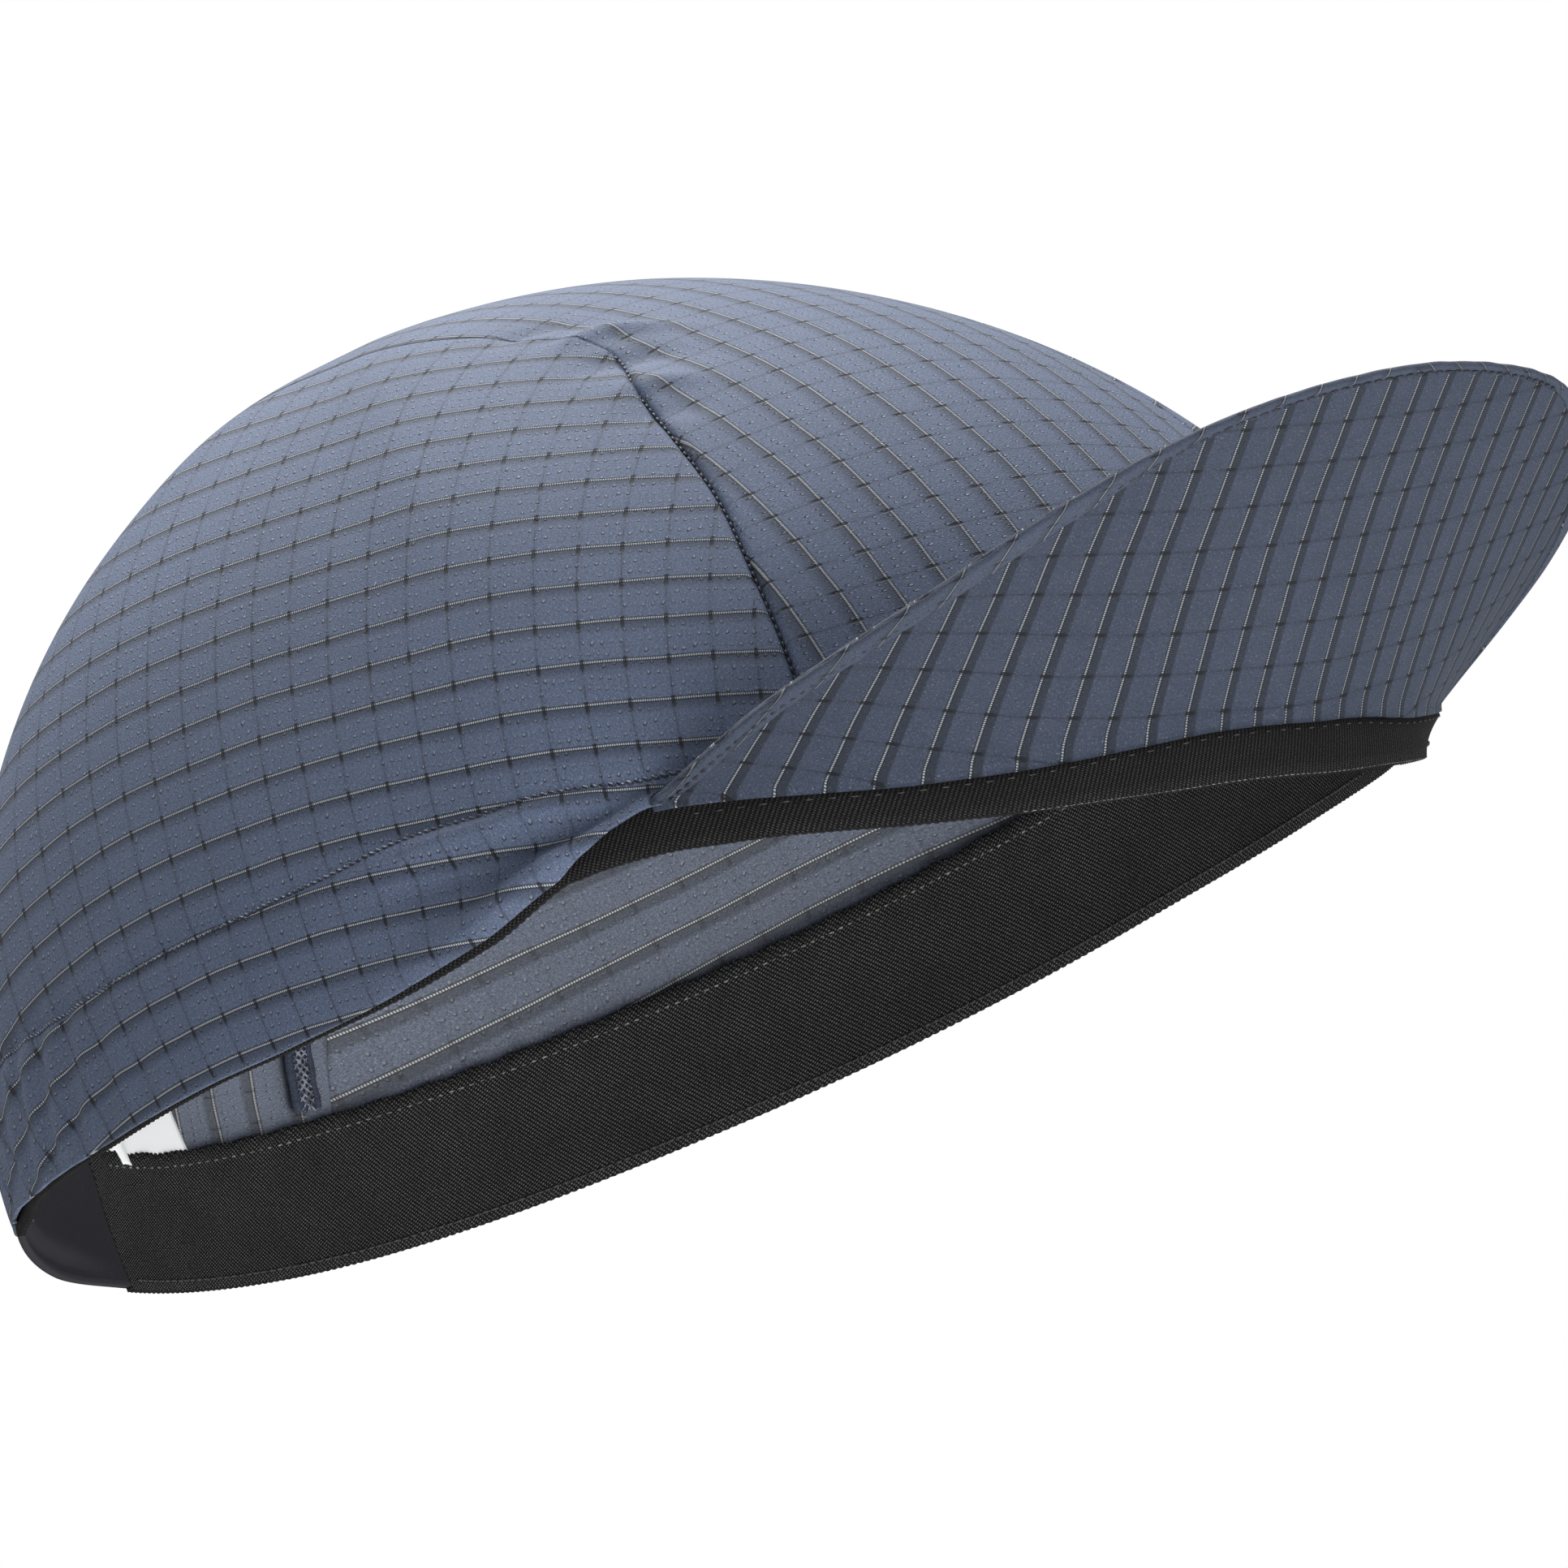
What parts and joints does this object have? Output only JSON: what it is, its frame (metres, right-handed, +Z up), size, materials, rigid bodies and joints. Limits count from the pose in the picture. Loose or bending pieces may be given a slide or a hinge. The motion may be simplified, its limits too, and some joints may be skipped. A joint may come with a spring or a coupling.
{
  "type": "cycling cap",
  "caption": "Soft peaked cap with a panelled crown, a short turned-up visor and an elastic sweatband, open below for the head.",
  "frame": {"origin": "middle of the head opening, in the plane where the cap sits round the head", "axes": "+Z up through the crown, -Y forwards over the visor, -X to the wearer's right"},
  "size_m": [0.156, 0.24, 0.0994],
  "materials": {
    "crown_cloth": "matt stretch cloth with a woven grid",
    "visor_cloth": "matt stretch cloth with a woven grid",
    "elastic_knit": "matt black knitted elastic",
    "smooth_elastic": "smooth black elastic",
    "seam_thread": "overlocked thread",
    "label_cloth": "smooth white satin, blank"
  },
  "bodies": {
    "root": {"crown_right_panel": "crown_cloth", "crown_left_panel": "crown_cloth", "crown_center_strip": "crown_cloth", "visor_under": "visor_cloth", "visor_upper": "crown_cloth", "sweatband": "elastic_knit", "sweatband_back_patch": "smooth_elastic", "seam_allowance_right": "seam_thread", "seam_allowance_left": "seam_thread", "care_label": "label_cloth"}
  },
  "joints": []
}
